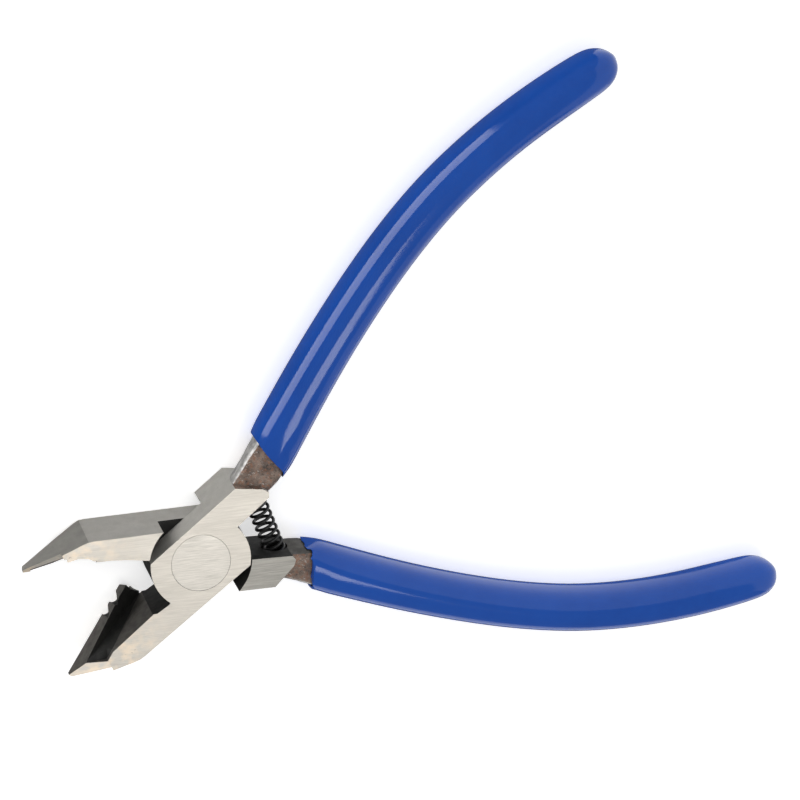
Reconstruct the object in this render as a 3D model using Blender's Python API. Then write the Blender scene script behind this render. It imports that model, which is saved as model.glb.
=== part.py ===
"""Small hand nippers: two forged levers crossing in a lap joint on one rivet.

The tool lies flat with its back face at z = 0 and the rivet's axis on the Z axis.
+X points to the handles and -X to the jaws. The front lever has its handle at +Y and
its jaw at -Y; the rear lever is the other way round. The pose is fully open, where the
coil spring between the handles is relaxed. Lengths below are millimetres.
"""
import math

import bmesh
import bpy
from mathutils import Matrix, Vector

MM = 0.001

# Head
THICKNESS = 11.0
LAP_PLANE = 5.5
LAP_GAP = 0.1
STRAP_RADIUS = 9.35
SHOULDER_RADIUS = 9.6
UPPER_SIDE_SLOPE = math.radians(19.4)
UPPER_SIDE_DISTANCE = 6.5
OUTER_SIDE_SLOPE = math.radians(18.5)
OUTER_SIDE_DISTANCE = 6.9
INNER_SIDE_ANGLE = math.radians(22.5)
THROAT_ANGLE = math.radians(211.5)
BLOCK_END = [(16.0, 6.4), (16.35, 7.4), (15.5, 8.45), (10.9, 10.8)]

# Jaws, front lever unless a name says otherwise
CLOSING_ANGLE = math.radians(41.5)
LIP_INNER = (-13.6, -1.68)
LIP_END_BACK = (-14.9, -2.44, 0.0)
LIP_END_FRONT = (-13.6, -1.68, 3.4)
LIP_END_REACH = 4.0
LIP_END_DEPTH = 1.8
LIP_TIP = (-30.1, -11.25)
NOSE_CORNER = (-17.1, -13.0)
NOSE_STEP_X = -22.4
NOSE_OUTER = [(-29.75, -12.0), (NOSE_STEP_X, -12.65)]
NOSE_ROUNDING = [(-18.2, -12.93), (-17.1, -12.9), (-16.06, -12.65)]
THROAT_WALL = [(-8.4, -5.15), (-10.9, -5.75), (-11.9, -5.5), (-12.8, -4.5), (-13.6, -2.9)]
REAR_PLATE_EDGE = [(-8.5, 4.7), (-9.5, 5.25), (-12.0, 6.55), (-14.6, 7.75), (-17.3, 8.7)]
BEVEL_START = (-14.9, -2.44)
BEVEL_TIP_HEIGHT = 7.0
BEVEL_DROP = 0.08
BEVEL_REACH = 24.0
BEVEL_SIDES = (-12.0, 24.0)
REAR_PLATE_SHARE = 0.31

# Notches: x on the lip, radius at the back, height of the cone's tip above the lip's back edge
NOTCHES = [(-17.0, 1.25, 3.6), (-19.3, 1.05, 3.0)]
NOTCH_TIP_RADIUS = 0.2

# Cut floors: x, y, height at each corner; everything above is cut away
ABOVE = THICKNESS + 5.0
BELOW = -2.0
POCKET = [(-12.2, 0.0, 2.3), (-11.75, -5.65, -0.35), (-21.1, -9.18, 10.0), (-26.6, -8.95, 10.8), (-22.0, 0.0, 9.0)]
POCKET_END = [
    (-20.5, -6.2, 8.2),
    (-21.0, -9.1, 9.9),
    (-22.6, -10.45, 9.8),
    (-26.6, -8.95, 10.8),
    (-23.5, -6.5, 9.6),
]
NOSE_TOP = [(NOSE_STEP_X, -8.0, 12.85), (NOSE_STEP_X, -14.0, 8.6), (-32.0, -14.0, 5.38), (-32.0, -8.0, 9.62)]
REAR_POCKET = [
    (-17.0, 7.0, 5.2),
    (-17.5, 9.0, 5.2),
    (-18.3, 9.9, 5.4),
    (-20.0, 10.75, 6.0),
    (-22.5, 11.05, 6.8),
    (-30.5, 8.0, 8.0),
]
REAR_GROOVE = [(-22.0, 8.0, 6.7), (-22.0, 11.7, 6.7), (-28.6, 11.65, 8.0), (-28.9, 8.0, 8.0)]
REAR_NOSE_TOP = [(NOSE_STEP_X, 8.0, 9.9), (NOSE_STEP_X, 14.5, 9.9), (-32.0, 14.5, 7.79), (-32.0, 8.0, 7.79)]
OVERHANG_THROAT = [(-7.0, 3.8, 4.0), (-18.5, 6.0, 6.8), (-8.0, 3.0, 4.0)]
OVERHANG_INNER_HEIGHT = 4.4
OVERHANG_MIDDLE_HEIGHT = 6.8
OVERHANG_SHARE = 0.34

# Rivet
SHANK_RADIUS = 3.5
RIVET_HEAD_RADIUS = 5.5
RIVET_HEAD_THICKNESS = 1.2
RUNNING_CLEARANCE = 0.05

# Spring and its two blind holes
SPRING_X = 13.9
SPRING_Z = 5.5
SPRING_RADIUS = 1.6
WIRE_RADIUS = 0.3
SPRING_TURNS = 14.5
SPRING_HALF_LENGTH = 9.95
SPRING_END_CLOSING = 0.03
SPRING_STEPS_PER_TURN = 14
SPRING_SIDES = 6
SPRING_HOLE_RADIUS = 2.4
SPRING_HOLE_MOUTH = 3.0
SPRING_HOLE_BOTTOM = 10.3

# Handles: stations are x, y, half width across, lowest z, highest z, draft of the outer side
TANG = [
    (11.6, 7.7, 2.75, 1.7, 9.3, 0.15),
    (14.15, 8.98, 3.1, 1.5, 9.5, 0.2),
    (16.95, 10.55, 3.6, 1.6, 9.4, 0.2),
    (19.1, 12.15, 3.7, 2.1, 8.9, 0.12),
    (24.0, 16.4, 3.2, 2.3, 8.7, 0.0),
    (35.0, 25.6, 2.7, 2.5, 8.5, 0.0),
    (50.0, 36.7, 2.6, 2.6, 8.4, 0.0),
    (65.0, 45.4, 2.5, 2.7, 8.3, 0.0),
    (80.0, 51.1, 2.4, 2.8, 8.2, 0.0),
    (98.0, 55.2, 1.9, 3.2, 7.8, 0.0),
]
GRIP = [
    (18.85, 11.95, 4.5, 0.6, 10.4, 0.0),
    (20.6, 13.3, 4.6, 0.35, 10.65, 0.0),
    (24.0, 16.25, 4.5, 0.15, 10.85, 0.0),
    (35.0, 25.6, 4.3, 0.0, 11.0, 0.0),
    (50.0, 36.7, 4.2, 0.0, 11.0, 0.0),
    (65.0, 45.4, 4.15, 0.0, 11.0, 0.0),
    (80.0, 51.0, 4.1, 0.0, 11.0, 0.0),
    (92.0, 53.85, 4.1, 0.1, 10.9, 0.0),
    (99.2, 55.2, 3.9, 0.4, 10.6, 0.0),
]
HEIGHT_TAPER = 0.75
TANG_EXPONENT = 4.6
TANG_SIDES = 24
GRIP_EXPONENT = 2.5
GRIP_SIDES = 24
GRIP_GAP = 0.25
MOUTH_SKEW = 0.5
MOUTH_REACH = 12.0
MOUTH_SHIFT = {1: 0.35, -1: -0.6}
END_LENGTH = 5.4
END_STEPS = 4
END_STEP_ANGLE = math.radians(21.0)
GRIP_MEETING_ANGLE = math.radians(20.75)
GRIP_MEETING_GAP = 0.12

ARC_STEP = math.radians(6.0)
ROUND_SEGMENTS = 48

COLOURS = {
    "ground_steel": ((0.62, 0.60, 0.55), 1.0, 0.35),
    "spring_steel": ((0.02, 0.02, 0.02), 0.6, 0.35),
    "blue_vinyl": ((0.01, 0.07, 0.36), 0.0, 0.3),
}


def material(name):
    """Principled material of one of the tool's finishes."""
    colour, metallic, roughness = COLOURS[name]
    finish = bpy.data.materials.get(name) or bpy.data.materials.new(name)
    finish.use_nodes = True
    shader = finish.node_tree.nodes["Principled BSDF"]
    shader.inputs["Base Color"].default_value = (*colour, 1.0)
    shader.inputs["Metallic"].default_value = metallic
    shader.inputs["Roughness"].default_value = roughness
    return finish


def new_piece(name, shape):
    """Object made from a bmesh in millimetres, with its faces turned outwards."""
    bmesh.ops.recalc_face_normals(shape, faces=shape.faces)
    bmesh.ops.scale(shape, vec=(MM, MM, MM), verts=shape.verts)
    mesh = bpy.data.meshes.new(name)
    shape.to_mesh(mesh)
    shape.free()
    piece = bpy.data.objects.new(name, mesh)
    bpy.context.collection.objects.link(piece)
    return piece


def combine(target, other, operation):
    """Apply a Boolean of another piece to the target and remove that piece."""
    modifier = target.modifiers.new(operation, "BOOLEAN")
    modifier.operation = operation
    modifier.solver = "EXACT"
    modifier.object = other
    bpy.context.view_layer.update()
    graph = bpy.context.evaluated_depsgraph_get()
    result = bpy.data.meshes.new_from_object(target.evaluated_get(graph))
    target.modifiers.clear()
    old_mesh = target.data
    target.data = result
    bpy.data.meshes.remove(old_mesh)
    bpy.data.objects.remove(other)


def arc(radius, start, end):
    """Points of an arc round the rivet's axis, both ends included."""
    count = max(2, math.ceil(abs(end - start) / ARC_STEP))
    angles = [start + (end - start) * step / count for step in range(count + 1)]
    return [(radius * math.cos(angle), radius * math.sin(angle)) for angle in angles]


def prism(name, outline, low, high):
    """Solid with a flat outline, from one height to another."""
    shape = bmesh.new()
    base = [shape.verts.new((x, y, low)) for x, y in outline]
    face = shape.faces.new(base)
    grown = bmesh.ops.extrude_face_region(shape, geom=[face])["geom"]
    top = [item for item in grown if isinstance(item, bmesh.types.BMVert)]
    bmesh.ops.translate(shape, vec=(0.0, 0.0, high - low), verts=top)
    return new_piece(name, shape)


def hull(name, points):
    """Smallest convex solid that holds the points."""
    shape = bmesh.new()
    for point in points:
        shape.verts.new(point)
    result = bmesh.ops.convex_hull(shape, input=shape.verts)
    spare = [item for item in result["geom_interior"] if isinstance(item, bmesh.types.BMVert)]
    bmesh.ops.delete(shape, geom=spare, context="VERTS")
    return new_piece(name, shape)


def floor_cutter(name, corners, reach):
    """Convex cutter from a floor with its own height at each corner, up or down to reach."""
    return hull(name, corners + [(x, y, reach) for x, y, _ in corners])


def round_bar(name, centre, radius, low, high, axis="Z", tip_radius=None):
    """Round bar or cone along Z or Y, between two places on that axis."""
    shape = bmesh.new()
    bmesh.ops.create_cone(
        shape,
        cap_ends=True,
        segments=ROUND_SEGMENTS,
        radius1=radius,
        radius2=radius if tip_radius is None else tip_radius,
        depth=high - low,
    )
    bmesh.ops.translate(shape, vec=(0.0, 0.0, (low + high) / 2), verts=shape.verts)
    if axis == "Y":
        turn = Matrix.Rotation(math.radians(-90.0), 4, "X")
        bmesh.ops.transform(shape, matrix=turn, verts=shape.verts)
    bmesh.ops.translate(shape, vec=centre, verts=shape.verts)
    return new_piece(name, shape)


def mirrored(points, side):
    """Plan points as they are for the front lever (side 1), mirrored for the rear one (-1)."""
    return [(x, y * side) for x, y in points]


def rotated(point, angle):
    """A plan point turned about the rivet."""
    x, y = point
    return (
        x * math.cos(angle) - y * math.sin(angle),
        x * math.sin(angle) + y * math.cos(angle),
    )


def head_outline(side):
    """Plan of the head from the outer side, round the handle block, to the throat."""
    outer_normal = OUTER_SIDE_SLOPE - math.pi / 2
    upper_normal = UPPER_SIDE_SLOPE + math.pi / 2
    outer_start = outer_normal + math.acos(OUTER_SIDE_DISTANCE / STRAP_RADIUS)
    upper_end = upper_normal + math.acos(UPPER_SIDE_DISTANCE / STRAP_RADIUS)
    points = arc(STRAP_RADIUS, outer_start, INNER_SIDE_ANGLE)
    points += BLOCK_END
    points += arc(STRAP_RADIUS, upper_end, THROAT_ANGLE)
    return mirrored(points, side)


def rear_contact(point):
    """Where a point of the front lever's contact face meets the open rear lever."""
    return rotated(point, -CLOSING_ANGLE)


def jaw_outline(side):
    """Plan of a jaw from the throat, along the contact face and round the nose."""
    if side > 0:
        return THROAT_WALL + [LIP_INNER, LIP_TIP] + NOSE_OUTER + NOSE_ROUNDING
    inner = rear_contact(LIP_INNER)
    tip = rear_contact(LIP_TIP)
    start = Vector(inner).lerp(Vector(tip), REAR_PLATE_SHARE)
    return REAR_PLATE_EDGE + [tuple(start), tip] + mirrored(NOSE_OUTER + NOSE_ROUNDING, side)


def bevel_cutter(start, corner, tip):
    """Back bevel of a nose: it starts on a line across the jaw and rises to the tip."""
    across = (Vector(corner) - Vector(start)).normalized()
    away = Vector((across.y, -across.x))
    if away.dot(Vector(tip) - Vector(start)) < 0:
        away.negate()
    rise = BEVEL_TIP_HEIGHT / away.dot(Vector(tip) - Vector(start))
    ends = []
    for offset in BEVEL_SIDES:
        foot = Vector(start) + across * offset
        far = foot + away * BEVEL_REACH
        ends += [(*foot, -BEVEL_DROP), (*foot, BELOW), (*far, BEVEL_REACH * rise), (*far, BELOW)]
    return hull("bevel_cutter", ends)


def lip_end_cutter():
    """Slanted inner end of the front lip: it runs back from the ridge to the back face."""
    back = Vector(LIP_END_BACK)
    slope = Vector(LIP_END_FRONT) - back
    along = -(Vector((*LIP_TIP, 0.0)) - Vector((*LIP_INNER, 0.0))).normalized()
    inward = Vector((along.y, -along.x, 0.0))
    points = []
    for foot in (back - slope * 0.3, back + slope * 1.06):
        for depth in (-0.5, LIP_END_DEPTH):
            near = foot + inward * depth
            points += [tuple(near), tuple(near + along * LIP_END_REACH)]
    return hull("lip_end_cutter", points)


def front_jaw_cuts():
    """Cutters that shape the front lever's jaw."""
    cuts = [bevel_cutter(BEVEL_START, NOSE_CORNER, LIP_TIP), lip_end_cutter()]
    cuts.append(floor_cutter("pocket_cutter", POCKET, ABOVE))
    cuts.append(floor_cutter("pocket_end_cutter", POCKET_END, ABOVE))
    cuts.append(floor_cutter("nose_top_cutter", NOSE_TOP, ABOVE))
    for x, radius, tip_height in NOTCHES:
        share = (x - LIP_INNER[0]) / (LIP_TIP[0] - LIP_INNER[0])
        y = LIP_INNER[1] + share * (LIP_TIP[1] - LIP_INNER[1])
        back = share * BEVEL_TIP_HEIGHT
        low, high = back - 1.0, back + tip_height
        cuts.append(round_bar("notch_cutter", (x, y, 0.0), radius, low, high, tip_radius=NOTCH_TIP_RADIUS))
    return cuts


def rear_jaw_cuts():
    """Cutters that shape the rear lever's jaw."""
    inner = rear_contact(LIP_INNER)
    tip = rear_contact(LIP_TIP)
    corner = (NOSE_CORNER[0], -NOSE_CORNER[1])
    middle = Vector(inner).lerp(Vector(tip), OVERHANG_SHARE)
    overhang = OVERHANG_THROAT + [(*inner, OVERHANG_INNER_HEIGHT), (*middle, OVERHANG_MIDDLE_HEIGHT)]
    return [
        bevel_cutter(rear_contact(BEVEL_START), corner, tip),
        floor_cutter("overhang_cutter", overhang, BELOW),
        floor_cutter("pocket_cutter", REAR_POCKET, ABOVE),
        floor_cutter("groove_cutter", REAR_GROOVE, ABOVE),
        floor_cutter("nose_top_cutter", REAR_NOSE_TOP, ABOVE),
    ]


def catmull(before, start, end, after, share):
    """Point of the smooth curve between two stations."""
    values = []
    for a, b, c, d in zip(before, start, end, after):
        cubic = -a + 3 * b - 3 * c + d
        square = 2 * a - 5 * b + 4 * c - d
        values.append(0.5 * (2 * b + (c - a) * share + square * share**2 + cubic * share**3))
    return values


def smooth_stations(stations, parts):
    """The stations with smoothly spaced ones between them."""
    result = []
    last = len(stations) - 1
    for index in range(last):
        before = stations[max(index - 1, 0)]
        after = stations[min(index + 2, last)]
        for part in range(parts):
            row = catmull(before, stations[index], stations[index + 1], after, part / parts)
            row[3] = max(row[3], 0.0)
            row[4] = min(row[4], THICKNESS)
            result.append(row)
    result.append(list(stations[last]))
    return result


def section(station, heading, exponent, count, grow=0.0, skew=0.0):
    """Closed ring of points across a handle: a rounded rectangle."""
    x, y, half_width, low, high, draft = station
    half_height = (high - low) / 2
    middle = (high + low) / 2
    ring = []
    for step in range(count):
        angle = 2 * math.pi * step / count
        across = math.copysign(abs(math.cos(angle)) ** (2 / exponent), math.cos(angle))
        upward = math.copysign(abs(math.sin(angle)) ** (2 / exponent), math.sin(angle))
        across *= half_width + grow
        upward *= half_height + grow
        along = across * skew
        upward *= 1.0 - across / half_width * draft * HEIGHT_TAPER
        across += max(across, 0.0) / half_width * upward * draft
        ring.append((
            x - across * math.sin(heading) + along * math.cos(heading),
            y + across * math.cos(heading) + along * math.sin(heading),
            middle + upward,
        ))
    return ring


def headings(stations):
    """Direction of the centreline at each station."""
    result = []
    last = len(stations) - 1
    for index in range(last + 1):
        back = stations[max(index - 1, 0)]
        ahead = stations[min(index + 1, last)]
        result.append(math.atan2(ahead[1] - back[1], ahead[0] - back[0]))
    return result


def loft(name, rings):
    """Solid through closed rings of equal count, capped at both ends."""
    shape = bmesh.new()
    loops = [[shape.verts.new(point) for point in ring] for ring in rings]
    for near, far in zip(loops, loops[1:]):
        for index in range(len(near)):
            after = (index + 1) % len(near)
            shape.faces.new((near[index], near[after], far[after], far[index]))
    shape.faces.new(loops[0])
    shape.faces.new(loops[-1])
    return new_piece(name, shape)


def tang(side):
    """Neck and tang of a lever, hidden in the grip beyond the neck."""
    stations = smooth_stations(TANG, 2)
    directions = headings(stations)
    rings = [section(row, turn, TANG_EXPONENT, TANG_SIDES) for row, turn in zip(stations, directions)]
    piece = loft("tang", rings)
    if side < 0:
        flip(piece)
    return piece


def flip(piece):
    """Turn a piece of the front lever into the rear lever's: half a turn about X."""
    middle = Matrix.Translation((0.0, 0.0, LAP_PLANE * MM))
    turn = middle @ Matrix.Rotation(math.pi, 4, "X") @ middle.inverted()
    piece.data.transform(turn)


def kept_apart(point):
    """A point of a grip, moved so that it clears the other grip when the jaws are closed."""
    x, y, z = point
    gap = y * math.cos(GRIP_MEETING_ANGLE) - x * math.sin(GRIP_MEETING_ANGLE)
    push = max(GRIP_MEETING_GAP - gap, 0.0)
    return (x - push * math.sin(GRIP_MEETING_ANGLE), y + push * math.cos(GRIP_MEETING_ANGLE), z)


def grip_rings(side):
    """Rings of the grip's outside, ending in a dome."""
    stations = smooth_stations(GRIP, 2)
    directions = headings(stations)
    stations[0][0] += MOUTH_SHIFT[side] * math.cos(directions[0])
    stations[0][1] += MOUTH_SHIFT[side] * math.sin(directions[0])
    rings = []
    for row, heading in zip(stations, directions):
        travel = (row[0] - stations[0][0]) / MOUTH_REACH
        skew = MOUTH_SKEW * max(0.0, 1.0 - travel)
        ring = section(row, heading, GRIP_EXPONENT, GRIP_SIDES, skew=skew)
        rings.append([kept_apart(point) for point in ring])
    x, y, half_width, low, high, draft = stations[-1]
    heading = directions[-1]
    middle = (low + high) / 2
    for step in range(1, END_STEPS + 1):
        shrink = math.cos(END_STEP_ANGLE * step)
        ahead = END_LENGTH * math.sin(END_STEP_ANGLE * step)
        half_height = (high - low) / 2 * shrink
        row = (
            x + ahead * math.cos(heading),
            y + ahead * math.sin(heading),
            half_width * shrink,
            middle - half_height,
            middle + half_height,
            draft,
        )
        rings.append(section(row, heading, GRIP_EXPONENT, GRIP_SIDES))
    return rings


def make_grip(name, side):
    """Dipped vinyl sleeve, open at the neck and closed at its far end."""
    piece = loft(name, grip_rings(side))
    inner = smooth_stations(TANG, 2)
    turns = headings(inner)
    beyond = list(inner[-1])
    beyond[0] += 2 * GRIP_GAP
    inner.append(beyond)
    turns.append(turns[-1])
    rings = [section(row, turn, TANG_EXPONENT, TANG_SIDES, GRIP_GAP) for row, turn in zip(inner, turns)]
    combine(piece, loft("grip_hollow", rings), "DIFFERENCE")
    if side < 0:
        flip(piece)
    return piece


def make_lever(name, side):
    """One forged lever: half-thickness strap, handle block, neck, tang and jaw."""
    outline = head_outline(side) + jaw_outline(side)
    piece = prism(name, outline, 0.0, THICKNESS)
    for cutter in front_jaw_cuts() if side > 0 else rear_jaw_cuts():
        combine(piece, cutter, "DIFFERENCE")
    combine(piece, tang(side), "UNION")
    lap = LAP_PLANE + side * LAP_GAP / 2
    low, high = (-1.0, lap) if side > 0 else (lap, THICKNESS + 1.0)
    recess = arc(SHOULDER_RADIUS, 0.0, 2 * math.pi)[:-1]
    combine(piece, prism("lap_cutter", recess, low, high), "DIFFERENCE")
    bore = round_bar("bore_cutter", (0, 0, 0), SHANK_RADIUS + RUNNING_CLEARANCE, -1.0, THICKNESS + 1.0)
    combine(piece, bore, "DIFFERENCE")
    seat = RIVET_HEAD_THICKNESS + RUNNING_CLEARANCE
    low, high = (THICKNESS - seat, THICKNESS + 1.0) if side > 0 else (-1.0, seat)
    seat_radius = RIVET_HEAD_RADIUS + RUNNING_CLEARANCE
    combine(piece, round_bar("seat_cutter", (0, 0, 0), seat_radius, low, high), "DIFFERENCE")
    ends = sorted((side * SPRING_HOLE_MOUTH, side * SPRING_HOLE_BOTTOM))
    centre = (SPRING_X, 0.0, SPRING_Z)
    hole = round_bar("spring_hole_cutter", centre, SPRING_HOLE_RADIUS, *ends, axis="Y")
    combine(piece, hole, "DIFFERENCE")
    return piece


def make_rivet():
    """Rivet with a flush head at each face."""
    piece = round_bar("pivot_rivet", (0, 0, 0), SHANK_RADIUS, 0.5, THICKNESS - 0.5)
    for low in (0.0, THICKNESS - RIVET_HEAD_THICKNESS):
        head = round_bar("rivet_head", (0, 0, 0), RIVET_HEAD_RADIUS, low, low + RIVET_HEAD_THICKNESS)
        combine(piece, head, "UNION")
    return piece


def make_spring():
    """Left-hand compression spring between the handles, a little tighter at its ends."""
    total = round(SPRING_TURNS * SPRING_STEPS_PER_TURN)
    rings = []
    for step in range(total + 1):
        share = step / total
        angle = -2 * math.pi * SPRING_TURNS * share
        spread = 2 * share - 1
        place = SPRING_HALF_LENGTH * (spread + SPRING_END_CLOSING * math.sin(math.pi * spread))
        ring = []
        for corner in range(SPRING_SIDES):
            tilt = 2 * math.pi * corner / SPRING_SIDES
            radius = SPRING_RADIUS + WIRE_RADIUS * math.cos(tilt)
            ring.append((
                SPRING_X + radius * math.cos(angle),
                place + WIRE_RADIUS * math.sin(tilt),
                SPRING_Z + radius * math.sin(angle),
            ))
        rings.append(ring)
    return loft("return_spring", rings)


def shade(piece):
    """Smooth shading with the real edges kept sharp."""
    piece.data.shade_smooth()
    piece.data.set_sharp_from_angle(angle=math.radians(30.0))


def main():
    for old in list(bpy.data.objects):
        bpy.data.objects.remove(old)
    pivot = bpy.data.objects.new("pivot_axis", None)
    bpy.context.collection.objects.link(pivot)
    finished = [
        (make_lever("front_lever", 1), "ground_steel", False),
        (make_lever("rear_lever", -1), "ground_steel", True),
        (make_rivet(), "ground_steel", False),
        (make_spring(), "spring_steel", False),
        (make_grip("front_grip", 1), "blue_vinyl", False),
        (make_grip("rear_grip", -1), "blue_vinyl", True),
    ]
    for piece, finish, moves in finished:
        piece.data.materials.clear()
        piece.data.materials.append(material(finish))
        shade(piece)
        if moves:
            piece.parent = pivot


main()
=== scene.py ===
"""Looks of the small hand nippers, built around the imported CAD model.

The steel pieces and grips are finer copies of the CAD solids, with rounded edges and a
material for each kind of surface; the spring is wound here. Lengths are metres unless a
name ends in _MM, and textures and surfaces are laid out in millimetres.
"""

import math

import bmesh
import bpy
from mathutils import Matrix, Vector


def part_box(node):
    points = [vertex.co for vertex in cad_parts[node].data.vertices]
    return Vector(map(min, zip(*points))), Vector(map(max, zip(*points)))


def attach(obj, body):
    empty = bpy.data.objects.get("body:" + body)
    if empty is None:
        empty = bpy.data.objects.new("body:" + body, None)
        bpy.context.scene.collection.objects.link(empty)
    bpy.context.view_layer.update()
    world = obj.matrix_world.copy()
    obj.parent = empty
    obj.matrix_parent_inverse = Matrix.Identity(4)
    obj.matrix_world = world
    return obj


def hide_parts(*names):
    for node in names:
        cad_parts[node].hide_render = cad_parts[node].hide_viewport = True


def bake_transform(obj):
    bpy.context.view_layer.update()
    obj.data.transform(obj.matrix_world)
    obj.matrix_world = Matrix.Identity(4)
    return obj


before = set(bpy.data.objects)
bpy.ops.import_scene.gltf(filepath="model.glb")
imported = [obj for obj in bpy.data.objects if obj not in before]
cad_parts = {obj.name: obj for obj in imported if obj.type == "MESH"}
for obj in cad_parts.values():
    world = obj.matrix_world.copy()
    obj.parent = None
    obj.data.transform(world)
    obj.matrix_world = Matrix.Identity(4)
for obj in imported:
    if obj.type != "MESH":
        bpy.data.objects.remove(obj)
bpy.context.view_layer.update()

MM = 0.001
THICKNESS_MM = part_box("front_lever")[1].z / MM
LAP_MM = THICKNESS_MM / 2

# Camera above the front face, rolled so that the jaws are at the left of the picture
CAMERA_TARGET = Vector((0.0449, 0.0136, 0.0110))
CAMERA_AZIMUTH = math.radians(108.71)
CAMERA_ELEVATION = math.radians(64.25)
CAMERA_DISTANCE = 0.4766
CAMERA_ROLL = math.radians(-138.99)
CAMERA_LENS = 117.4

# Middle of the lit area
STAGE_CENTRE = Vector((0.04, 0.0, 0.0))

# Directions of the lever's surfaces; nose tops are the front lever's (1) and the rear's (-1).
# A face is square to a direction when its unit normal has at least SQUARE of it
OUTER_SLOPE = math.radians(18.5)
BLOCK_END_NORMAL = Vector((0.454, 0.891))
NECK_START_NORMAL = Vector((0.53, 0.848))
NOSE_TOP_NORMALS = {1: Vector((-0.265, -0.557, 0.787)), -1: Vector((-0.215, 0.0, 0.977))}
SQUARE = 0.97

# Where the lever's surfaces begin along X, from the jaw's tip to the neck. The block ends at its
# corner, the ledge is that far from mid thickness, and the skin is a tolerance
NOSE_TIP_MM = -29.0
NOSE_TOP_MM = -22.3
NOSE_SIDE_MM = -17.0
JAW_MM = -13.0
DISC_SIDE_MM = 2.5
BLOCK_MM = 8.0
BLOCK_END_MM = 9.5
BLOCK_CORNER_MM = Vector((10.9, 10.8))
NECK_MM = 16.4
LEDGE_MM = 3.5
SKIN_MM = 0.05

# Grain of the steel in lines per millimetre, its direction, and the run along X of the jaws' warmer,
# lighter colour, partly tinted steel and partly a painted highlight
BRUSH_ANGLE = math.radians(-19.4)
NECK_SCRATCH_ANGLE = math.radians(35.0)
FACE_GRAIN = 5.5
RIVET_GRAIN = 6.0
JAW_TINT_AND_HIGHLIGHT_MM = (-9.0, -20.0)

# Rounding of real edges
LEVER_ROUNDING_MM = 0.13
RIVET_ROUNDING_MM = 0.1

# Spring
SPRING_X = 0.0139
SPRING_RADIUS = 0.00182
WIRE_RADIUS = 0.0003
SPRING_TURNS = 14.5
SPRING_HALF_LENGTH = 0.00995
SPRING_END_CLOSING = 0.03
SPRING_STEPS_PER_TURN = 40
WIRE_SIDES = 12
SPRING_HOLE_RADIUS_MM = 2.45
SPRING_HOLE_MOUTH_MM = 2.0
SPRING_HOLE_BOTTOM_MM = 10.4

# Grips: their mouths lie nearer to the rivet than the reach
MOUTH_REACH = 0.032
MOUTH_EASING_STEPS = 14
GRIP_CREASE_ANGLE = math.radians(45.0)
GRIP_CREASE = 0.35


# ---------------------------------------------------------------- node helpers


def new_material(name, metallic=0.0, roughness=0.5, specular=0.5):
    """Principled material, its node tree and its shader."""
    material = bpy.data.materials.new(name)
    material.use_nodes = True
    shader = material.node_tree.nodes["Principled BSDF"]
    shader.inputs["Metallic"].default_value = metallic
    shader.inputs["Roughness"].default_value = roughness
    shader.inputs["Specular IOR Level"].default_value = specular
    return material, material.node_tree, shader


def mapped(tree, scale, turn=0.0):
    """Object coordinates in millimetres, turned about Z and scaled on each axis."""
    place = tree.nodes.new("ShaderNodeTexCoord")
    turned = tree.nodes.new("ShaderNodeMapping")
    turned.inputs["Rotation"].default_value = (0.0, 0.0, -turn)
    turned.inputs["Scale"].default_value = (1 / MM, 1 / MM, 1 / MM)
    stretched = tree.nodes.new("ShaderNodeMapping")
    stretched.inputs["Scale"].default_value = scale
    tree.links.new(place.outputs["Object"], turned.inputs["Vector"])
    tree.links.new(turned.outputs["Vector"], stretched.inputs["Vector"])
    return stretched.outputs["Vector"]


def noise(tree, vector, scale=1.0, detail=4.0, rough=0.55):
    """Noise factor at a scale in cycles per millimetre."""
    node = tree.nodes.new("ShaderNodeTexNoise")
    node.inputs["Scale"].default_value = scale
    node.inputs["Detail"].default_value = detail
    node.inputs["Roughness"].default_value = rough
    tree.links.new(vector, node.inputs["Vector"])
    return node.outputs["Fac"]


def span(tree, value, low, high, out_low=0.0, out_high=1.0):
    """The value, stretched from one range to another and clamped."""
    node = tree.nodes.new("ShaderNodeMapRange")
    node.inputs["From Min"].default_value = low
    node.inputs["From Max"].default_value = high
    node.inputs["To Min"].default_value = out_low
    node.inputs["To Max"].default_value = out_high
    tree.links.new(value, node.inputs["Value"])
    return node.outputs["Result"]


def times(tree, first, second):
    """Product of two values."""
    node = tree.nodes.new("ShaderNodeMath")
    node.operation = "MULTIPLY"
    for index, value in enumerate((first, second)):
        if isinstance(value, float):
            node.inputs[index].default_value = value
        else:
            tree.links.new(value, node.inputs[index])
    return node.outputs["Value"]


def blended(tree, factor, low, high):
    """Colour between two, each a tuple or a socket."""
    node = tree.nodes.new("ShaderNodeMix")
    node.data_type = "RGBA"
    tree.links.new(factor, node.inputs["Factor"])
    for name, colour in (("A", low), ("B", high)):
        socket = [item for item in node.inputs if item.name == name and item.type == "RGBA"][0]
        if isinstance(colour, tuple):
            socket.default_value = (*colour, 1.0)
        else:
            tree.links.new(colour, socket)
    return [item for item in node.outputs if item.type == "RGBA"][0]


def bump(tree, shader, height, strength, distance_mm):
    """Bump on the shader from a height."""
    node = tree.nodes.new("ShaderNodeBump")
    node.inputs["Strength"].default_value = strength
    node.inputs["Distance"].default_value = distance_mm * MM
    tree.links.new(height, node.inputs["Height"])
    tree.links.new(node.outputs["Normal"], shader.inputs["Normal"])


def along_x(tree):
    """Object X in millimetres."""
    split = tree.nodes.new("ShaderNodeSeparateXYZ")
    tree.links.new(mapped(tree, (1.0, 1.0, 1.0)), split.inputs["Vector"])
    return split.outputs["X"]


# ------------------------------------------------------------------- materials


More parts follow.
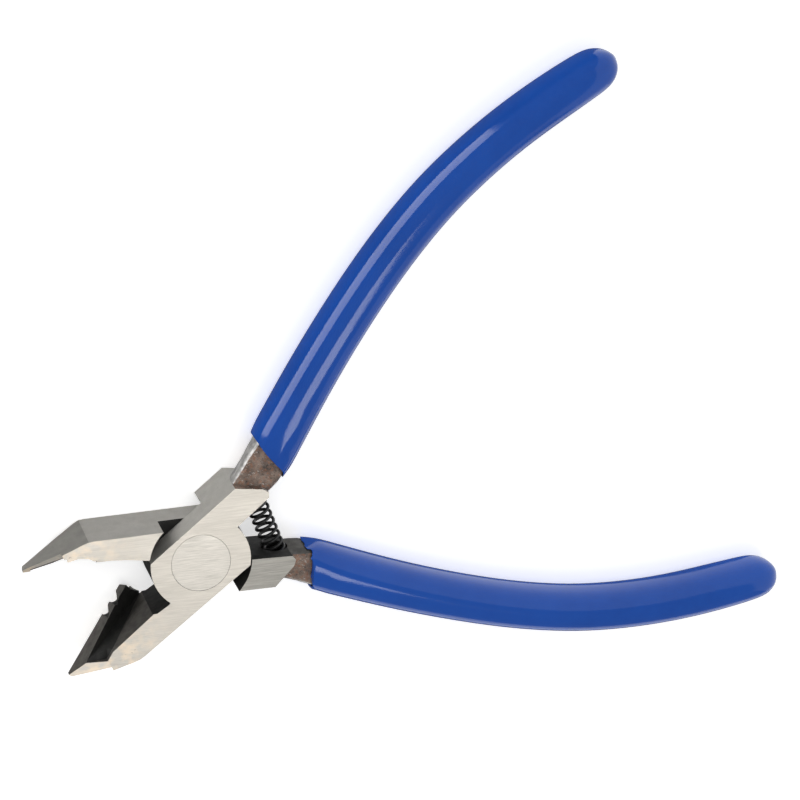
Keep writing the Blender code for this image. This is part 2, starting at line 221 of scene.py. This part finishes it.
def ground_steel(name, light, dark, grain, roughness):
    """Surface-ground steel: fine lines one way, faint blotches, pits, and at the jaws a warmer, lighter
    colour that is partly tinted steel and partly a painted highlight.
    """
    material, tree, shader = new_material(name, metallic=0.75, roughness=roughness)
    lines = noise(tree, mapped(tree, (0.22, grain, grain), BRUSH_ANGLE), 1.0, 6.0, 0.7)
    blotch = noise(tree, mapped(tree, (1.0, 1.0, 1.0)), 0.22, 3.0)
    colour = blended(tree, span(tree, lines, 0.36, 0.64), dark, light)
    worn = tuple(channel * 0.82 for channel in dark)
    colour = blended(tree, span(tree, blotch, 0.62, 0.8, 0.0, 0.5), colour, worn)
    # Jaws: a warmer colour, lighter than the steel, partly tinted steel and partly a painted highlight
    jaw = span(tree, along_x(tree), *JAW_TINT_AND_HIGHLIGHT_MM)
    tint_and_highlight = span(tree, noise(tree, mapped(tree, (1.0, 1.0, 1.0)), 0.45, 3.0), 0.42, 0.66)
    warm_tint_and_highlight = (min(light[0] * 1.3, 1.0), light[1] * 1.16, light[2] * 1.0)
    colour = blended(tree, times(tree, jaw, times(tree, tint_and_highlight, 0.85)), colour, warm_tint_and_highlight)
    pits = noise(tree, mapped(tree, (1.0, 1.0, 1.0)), 1.6, 2.0)
    pit = span(tree, pits, 0.7, 0.76)
    colour = blended(tree, times(tree, pit, times(tree, jaw, 0.7)), colour, (0.12, 0.10, 0.09))
    tree.links.new(colour, shader.inputs["Base Color"])
    gloss = span(tree, lines, 0.2, 0.8, roughness + 0.08, roughness - 0.06)
    tree.links.new(gloss, shader.inputs["Roughness"])
    bump(tree, shader, lines, 0.25, 0.02)
    return material


def side_steel(name, light, dark):
    """Milled sides: duller, with cloudy tone and cross lines."""
    material, tree, shader = new_material(name, metallic=0.6, roughness=0.48)
    cloud = noise(tree, mapped(tree, (1.0, 1.0, 1.0)), 0.35, 5.0)
    lines = noise(tree, mapped(tree, (3.0, 3.0, 0.4)), 1.5, 3.0)
    colour = blended(tree, span(tree, cloud, 0.3, 0.7), dark, light)
    scored = tuple(channel * 0.8 for channel in dark)
    colour = blended(tree, span(tree, lines, 0.55, 0.8, 0.0, 0.35), colour, scored)
    tree.links.new(colour, shader.inputs["Base Color"])
    tree.links.new(span(tree, cloud, 0.3, 0.7, 0.55, 0.42), shader.inputs["Roughness"])
    bump(tree, shader, lines, 0.2, 0.03)
    return material


def unground_steel(name, light, dark, roughness=0.5):
    """Unground steel, blackened or scratched bright, with a faint scaly tone."""
    material, tree, shader = new_material(name, metallic=0.35, roughness=roughness)
    cloud = noise(tree, mapped(tree, (1.0, 1.0, 1.0)), 0.6, 6.0, 0.6)
    colour = blended(tree, span(tree, cloud, 0.35, 0.7), dark, light)
    tree.links.new(colour, shader.inputs["Base Color"])
    gloss = span(tree, cloud, 0.3, 0.7, roughness + 0.1, roughness - 0.08)
    tree.links.new(gloss, shader.inputs["Roughness"])
    bump(tree, shader, cloud, 0.3, 0.05)
    return material


def scaled_neck(name):
    """Brown forging scale with rust, pale scratches, dark pits and a rough skin."""
    material, tree, shader = new_material(name, metallic=0.3, roughness=0.5)
    plain = mapped(tree, (1.0, 1.0, 1.0))
    broad = noise(tree, plain, 0.4, 6.0, 0.62)
    fine = noise(tree, plain, 1.5, 8.0, 0.72)
    colour = blended(tree, span(tree, broad, 0.35, 0.65), (0.085, 0.064, 0.053), (0.30, 0.225, 0.18))
    colour = blended(tree, span(tree, fine, 0.5, 0.62, 0.0, 0.8), colour, (0.27, 0.115, 0.06))
    streaks = noise(tree, mapped(tree, (2.6, 0.9, 1.5), NECK_SCRATCH_ANGLE), 1.2, 8.0, 0.7)
    colour = blended(tree, span(tree, streaks, 0.58, 0.66), colour, (0.62, 0.57, 0.52))
    colour = blended(tree, span(tree, fine, 0.44, 0.34), colour, (0.02, 0.016, 0.014))
    tree.links.new(colour, shader.inputs["Base Color"])
    tree.links.new(span(tree, fine, 0.3, 0.7, 0.62, 0.36), shader.inputs["Roughness"])
    bump(tree, shader, fine, 0.5, 0.12)
    return material


def dipped_vinyl(name):
    """Glossy blue dip coat: faint waves from dipping and tiny tone changes."""
    material, tree, shader = new_material(name, roughness=0.1, specular=0.36)
    plain = mapped(tree, (1.0, 1.0, 1.0))
    broad = noise(tree, plain, 0.05, 3.0)
    fine = noise(tree, plain, 0.5, 3.0, 0.5)
    colour = blended(tree, span(tree, broad, 0.3, 0.7), (0.006, 0.067, 0.375), (0.008, 0.083, 0.45))
    colour = blended(tree, span(tree, fine, 0.3, 0.8, 0.0, 0.3), colour, (0.011, 0.097, 0.48))
    tree.links.new(colour, shader.inputs["Base Color"])
    tree.links.new(span(tree, fine, 0.3, 0.7, 0.12, 0.08), shader.inputs["Roughness"])
    bump(tree, shader, noise(tree, plain, 0.28, 2.0), 0.12, 0.1)
    return material


def black_spring(name):
    """Oiled black spring wire."""
    material, tree, shader = new_material(name, roughness=0.3)
    tone = noise(tree, mapped(tree, (1.0, 1.0, 1.0)), 1.5, 3.0)
    colour = blended(tree, span(tree, tone, 0.3, 0.7), (0.004, 0.004, 0.004), (0.012, 0.012, 0.012))
    tree.links.new(colour, shader.inputs["Base Color"])
    tree.links.new(span(tree, tone, 0.3, 0.7, 0.4, 0.25), shader.inputs["Roughness"])
    return material


# ------------------------------------------------------------ lever surfaces

SURFACES = [
    "ground", "dull_ground", "side", "nose_side", "recess", "lip", "neck", "neck_side", "inner_side",
]


def lever_materials():
    """One material for each kind of lever surface, in the order of SURFACES."""
    return [
        ground_steel("ground_face", (0.60, 0.562, 0.50), (0.50, 0.468, 0.415), FACE_GRAIN, 0.36),
        ground_steel("dull_face", (0.38, 0.365, 0.33), (0.28, 0.27, 0.245), FACE_GRAIN, 0.4),
        side_steel("milled_side", (0.57, 0.553, 0.515), (0.47, 0.456, 0.42)),
        side_steel("nose_side", (0.38, 0.369, 0.341), (0.29, 0.282, 0.259)),
        unground_steel("black_recess", (0.022, 0.022, 0.02), (0.009, 0.009, 0.0085)),
        unground_steel("bite_face", (0.115, 0.107, 0.096), (0.065, 0.061, 0.055)),
        scaled_neck("scaled_neck"),
        unground_steel("neck_side", (0.66, 0.65, 0.63), (0.24, 0.23, 0.22), 0.45),
        unground_steel("inner_side", (0.125, 0.118, 0.105), (0.07, 0.067, 0.06)),
    ]


def surface_of(centre, normal, side):
    """Kind of lever surface at a point in millimetres. side is 1 for the front lever, -1 for the rear."""
    x, y, z = centre.x, centre.y * side, centre.z
    facing = Vector((normal.x, normal.y * side))
    outer = Vector((math.sin(OUTER_SLOPE), -math.cos(OUTER_SLOPE)))
    hole_reach = math.hypot(x - SPRING_X / MM, z - LAP_MM)
    if SPRING_HOLE_MOUTH_MM < y < SPRING_HOLE_BOTTOM_MM and hole_reach < SPRING_HOLE_RADIUS_MM:
        return "recess"
    past_block = (Vector((x, y)) - BLOCK_CORNER_MM).dot(NECK_START_NORMAL)
    # Painted shade: away from mid thickness the block's end wall takes the dark neck scale, where the
    # step's shadow falls
    if x > BLOCK_END_MM and facing.dot(BLOCK_END_NORMAL) > SQUARE and abs(past_block) < 4 * SKIN_MM:
        return "neck" if abs(z - LAP_MM) > LEDGE_MM else "side"
    if x > NECK_MM or (x > BLOCK_END_MM and past_block > -SKIN_MM):
        if abs(normal.z) > 0.62:
            return "neck"
        if facing.y < -0.4:
            return "inner_side"
        return "neck_side" if facing.y > 0.45 else "neck"
    if abs(normal.z) > SQUARE and (z > THICKNESS_MM - SKIN_MM or z < SKIN_MM):
        return "dull_ground" if x > BLOCK_MM and side < 0 else "ground"
    if x > BLOCK_MM and y > 0.0 and facing.y < -0.6:
        return "inner_side"
    if x < JAW_MM and normal.z < -0.5:
        return "ground"
    if x < NOSE_TOP_MM and normal.dot(NOSE_TOP_NORMALS[side]) > 0.995:
        return "ground"
    if x < JAW_MM and y < 0.0 and facing.y > 0.6 and abs(normal.z) < 0.2:
        return "lip"
    if x < NOSE_TIP_MM or (x < NOSE_SIDE_MM and facing.y < -0.9):
        return "nose_side"
    if facing.dot(outer) > SQUARE or (y > DISC_SIDE_MM and facing.dot(-outer) > 0.9):
        return "side"
    return "recess"


def weld(shape):
    """Join the split corners that an imported mesh has."""
    bmesh.ops.remove_doubles(shape, verts=shape.verts, dist=1e-6)


def finer_copy(node):
    """A new object with the CAD node's mesh, its corners joined."""
    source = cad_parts[node]
    shape = bmesh.new()
    shape.from_mesh(source.data)
    weld(shape)
    mesh = bpy.data.meshes.new(node + "_fine")
    shape.to_mesh(mesh)
    shape.free()
    for name in ("custom_normal", "sharp_edge", "sharp_face"):
        if name in mesh.attributes:
            mesh.attributes.remove(mesh.attributes[name])
    piece = bpy.data.objects.new(node + "_fine", mesh)
    bpy.context.scene.collection.objects.link(piece)
    return piece


def finish_mesh(piece):
    """Apply the piece's modifiers to its mesh."""
    bpy.context.view_layer.update()
    graph = bpy.context.evaluated_depsgraph_get()
    mesh = bpy.data.meshes.new_from_object(piece.evaluated_get(graph))
    piece.modifiers.clear()
    piece.data = mesh


def flatten(piece):
    """Turn the CAD solid's triangles back into flat faces."""
    shape = bmesh.new()
    shape.from_mesh(piece.data)
    bmesh.ops.dissolve_limit(shape, angle_limit=math.radians(0.6), verts=shape.verts, edges=shape.edges)
    shape.to_mesh(piece.data)
    shape.free()


def round_edges(piece, width_mm):
    """Bevel the edges that are sharper than 28 degrees, and keep the flat faces flat."""
    modifier = piece.modifiers.new("edges", "BEVEL")
    modifier.width = width_mm * MM
    modifier.segments = 2
    modifier.limit_method = "ANGLE"
    modifier.angle_limit = math.radians(28.0)
    modifier.use_clamp_overlap = True
    modifier.loop_slide = False
    weighted = piece.modifiers.new("flat_faces", "WEIGHTED_NORMAL")
    weighted.weight = 100
    finish_mesh(piece)


def make_lever(node, side, materials):
    """Fine lever with a material on each kind of surface."""
    piece = finer_copy(node)
    flatten(piece)
    piece.data.materials.clear()
    for material in materials:
        piece.data.materials.append(material)
    for face in piece.data.polygons:
        name = surface_of(face.center / MM, face.normal, side)
        face.material_index = SURFACES.index(name)
    piece.data.shade_smooth()
    round_edges(piece, LEVER_ROUNDING_MM)
    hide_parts(node)
    return piece


def make_rivet(material):
    """Rivet with softly rounded heads."""
    piece = finer_copy("pivot_rivet")
    flatten(piece)
    piece.data.materials.clear()
    piece.data.materials.append(material)
    piece.data.shade_smooth()
    round_edges(piece, RIVET_ROUNDING_MM)
    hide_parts("pivot_rivet")
    return piece


def crease_edges(shape):
    """Hold the sharp edges of a grip against subdivision."""
    layer = shape.edges.layers.float.new("crease_edge")
    for edge in shape.edges:
        if edge.calc_face_angle() > GRIP_CREASE_ANGLE:
            edge[layer] = GRIP_CREASE


def ease_mouth(shape):
    """Even out the steps along the grip in the edges of its mouth."""
    rim = [
        edge for edge in shape.edges
        if edge.calc_face_angle() > GRIP_CREASE_ANGLE and edge.verts[0].co.x < MOUTH_REACH
    ]
    beside = {}
    for edge in rim:
        for vertex in edge.verts:
            beside.setdefault(vertex, []).append(edge.other_vert(vertex))
    inside = [vertex.co for vertex in shape.verts if MOUTH_REACH < vertex.co.x < 1.4 * MOUTH_REACH]
    middle = sum(inside, Vector()) / len(inside)
    mouth = sum((vertex.co for vertex in beside), Vector()) / len(beside)
    along = (middle - mouth).normalized()
    for _ in range(MOUTH_EASING_STEPS):
        depth = {vertex: vertex.co.dot(along) for vertex in beside}
        for vertex, others in beside.items():
            level = sum(depth[other] for other in others) / len(others)
            vertex.co += 0.5 * (level - depth[vertex]) * along


def make_grip(node, material):
    """Fine grip: the CAD sleeve with its quads restored and subdivided."""
    piece = finer_copy(node)
    shape = bmesh.new()
    shape.from_mesh(piece.data)
    bmesh.ops.join_triangles(
        shape,
        faces=shape.faces,
        angle_face_threshold=math.radians(40.0),
        angle_shape_threshold=math.radians(50.0),
    )
    ease_mouth(shape)
    crease_edges(shape)
    shape.to_mesh(piece.data)
    shape.free()
    piece.data.materials.clear()
    piece.data.materials.append(material)
    piece.data.shade_smooth()
    modifier = piece.modifiers.new("smooth", "SUBSURF")
    modifier.levels = 2
    modifier.render_levels = 2
    finish_mesh(piece)
    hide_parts(node)
    return piece


def make_spring(material):
    """Round wire wound between the two handles, with closed end turns."""
    total = round(SPRING_TURNS * SPRING_STEPS_PER_TURN)
    middle_z = LAP_MM * MM
    shape = bmesh.new()
    loops = []
    for step in range(total + 1):
        share = step / total
        angle = -2 * math.pi * SPRING_TURNS * share
        spread = 2 * share - 1
        place = SPRING_HALF_LENGTH * (spread + SPRING_END_CLOSING * math.sin(math.pi * spread))
        loop = []
        for corner in range(WIRE_SIDES):
            tilt = 2 * math.pi * corner / WIRE_SIDES
            radius = SPRING_RADIUS + WIRE_RADIUS * math.cos(tilt)
            loop.append(shape.verts.new((
                SPRING_X + radius * math.cos(angle),
                place + WIRE_RADIUS * math.sin(tilt),
                middle_z + radius * math.sin(angle),
            )))
        loops.append(loop)
    for near, far in zip(loops, loops[1:]):
        for index in range(WIRE_SIDES):
            after = (index + 1) % WIRE_SIDES
            shape.faces.new((near[index], near[after], far[after], far[index]))
    shape.faces.new(loops[0])
    shape.faces.new(loops[-1])
    bmesh.ops.recalc_face_normals(shape, faces=shape.faces)
    mesh = bpy.data.meshes.new("coil_spring")
    shape.to_mesh(mesh)
    shape.free()
    piece = bpy.data.objects.new("coil_spring", mesh)
    bpy.context.scene.collection.objects.link(piece)
    piece.data.materials.append(material)
    piece.data.shade_smooth()
    piece.data.set_sharp_from_angle(angle=math.radians(60.0))
    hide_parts("return_spring")
    return piece


# --------------------------------------------------------------------- stage


def make_stage():
    """Pale floor, far larger than the view."""
    shape = bmesh.new()
    bmesh.ops.create_grid(shape, x_segments=4, y_segments=4, size=3.0)
    mesh = bpy.data.meshes.new("floor")
    shape.to_mesh(mesh)
    shape.free()
    floor = bpy.data.objects.new("floor", mesh)
    bpy.context.scene.collection.objects.link(floor)
    floor.location.z = -0.0002
    material, _, shader = new_material("floor_paper", roughness=0.9, specular=0.1)
    shader.inputs["Base Color"].default_value = (0.9, 0.9, 0.9, 1.0)
    shader.inputs["Emission Color"].default_value = (1.0, 1.0, 1.0, 1.0)
    shader.inputs["Emission Strength"].default_value = 0.5
    floor.data.materials.append(material)
    floor.visible_glossy = False


def make_card(name, centre, across, along, radiance):
    """Bright card that is only seen in reflections. across and along are its half sides."""
    middle, first, second = Vector(centre), Vector(across), Vector(along)
    shape = bmesh.new()
    corners = ((-1, -1), (1, -1), (1, 1), (-1, 1))
    shape.faces.new([shape.verts.new(middle + a * first + b * second) for a, b in corners])
    mesh = bpy.data.meshes.new(name)
    shape.to_mesh(mesh)
    shape.free()
    card = bpy.data.objects.new(name, mesh)
    bpy.context.scene.collection.objects.link(card)
    card.location = STAGE_CENTRE
    material, _, shader = new_material(name)
    shader.inputs["Base Color"].default_value = (0.0, 0.0, 0.0, 1.0)
    shader.inputs["Emission Color"].default_value = (1.0, 1.0, 1.0, 1.0)
    shader.inputs["Emission Strength"].default_value = radiance
    material.cycles.emission_sampling = "NONE"
    card.data.materials.append(material)
    card.visible_camera = False
    card.visible_diffuse = False
    card.visible_shadow = False
    card.visible_transmission = False


def softbox(name, start, end, distance, width, radiance):
    """Strip light that spans from one direction to another as seen from the tool, facing it."""
    first = Vector(start).normalized() * distance
    last = Vector(end).normalized() * distance
    data = bpy.data.lights.new(name, "AREA")
    data.shape = "RECTANGLE"
    data.size = width
    data.size_y = (last - first).length
    data.energy = radiance * math.pi * width * data.size_y
    lamp = bpy.data.objects.new(name, data)
    bpy.context.scene.collection.objects.link(lamp)
    middle = (first + last) / 2
    back = middle.normalized()
    length = (last - first).normalized()
    across = length.cross(back)
    turned = Matrix((across, length, back)).transposed()
    lamp.matrix_world = Matrix.Translation(STAGE_CENTRE + middle) @ turned.to_4x4()
    return lamp


def make_lights():
    """Dim surround, an overhead strip, a soft fill, and three cards that shape the reflections."""
    world = bpy.data.worlds.new("studio")
    world.use_nodes = True
    tree = world.node_tree
    background = tree.nodes["Background"]
    background.inputs["Color"].default_value = (1.0, 1.0, 1.0, 1.0)
    direction = tree.nodes.new("ShaderNodeTexCoord")
    split = tree.nodes.new("ShaderNodeSeparateXYZ")
    tree.links.new(direction.outputs["Generated"], split.inputs["Vector"])
    tree.links.new(span(tree, split.outputs["Z"], -0.3, 0.1, 0.12, 0.4), background.inputs["Strength"])
    bpy.context.scene.world = world
    softbox("overhead", (-0.06, -0.08, 0.99), (0.08, -0.44, 0.89), 1.2, 0.23, 5.4)
    fill = softbox("fill", (-0.5, 0.3, 0.9), (0.4, 0.5, 0.8), 1.4, 1.0, 1.3)
    fill.visible_glossy = False
    make_card("window", (-0.64, 0.985, -0.115), (0.44, 0.315, -0.105), (0.0, 0.0, 0.47), 4.8)
    make_card("wall", (1.0, -0.2, 0.05), (0.0, 1.9, 0.0), (0.0, 0.0, 2.15), 0.97)
    make_card("rim", (-0.1, -1.2, -0.25), (1.0, 0.0, 0.0), (0.0, 0.0, 0.42), 1.5)


def make_camera():
    """Camera aimed at the tool, with its roll."""
    data = bpy.data.cameras.new("camera")
    data.lens = CAMERA_LENS
    data.sensor_width = 36.0
    data.clip_start = 0.01
    camera = bpy.data.objects.new("camera", data)
    bpy.context.scene.collection.objects.link(camera)
    direction = Vector((
        math.cos(CAMERA_ELEVATION) * math.cos(CAMERA_AZIMUTH),
        math.cos(CAMERA_ELEVATION) * math.sin(CAMERA_AZIMUTH),
        math.sin(CAMERA_ELEVATION),
    ))
    aim = (-direction).to_track_quat("-Z", "Y").to_matrix()
    roll = Matrix.Rotation(-CAMERA_ROLL, 3, "Z")
    place = Matrix.Translation(CAMERA_TARGET + direction * CAMERA_DISTANCE)
    camera.matrix_world = place @ (aim @ roll).to_4x4()
    bpy.context.scene.camera = camera


# ---------------------------------------------------------------------- build

make_camera()
make_lights()
make_stage()
bpy.context.scene.view_settings.view_transform = "Standard"

steel = lever_materials()
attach(make_lever("front_lever", 1, steel), "front_half")
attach(make_lever("rear_lever", -1, steel), "rear_half")
rivet_face = ground_steel("rivet_face", (0.60, 0.566, 0.51), (0.41, 0.388, 0.348), RIVET_GRAIN, 0.33)
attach(make_rivet(rivet_face), "front_half")
vinyl = dipped_vinyl("dipped_vinyl")
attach(make_grip("front_grip", vinyl), "front_half")
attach(make_grip("rear_grip", vinyl), "rear_half")
spring = make_spring(black_spring("spring_wire"))
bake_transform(spring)
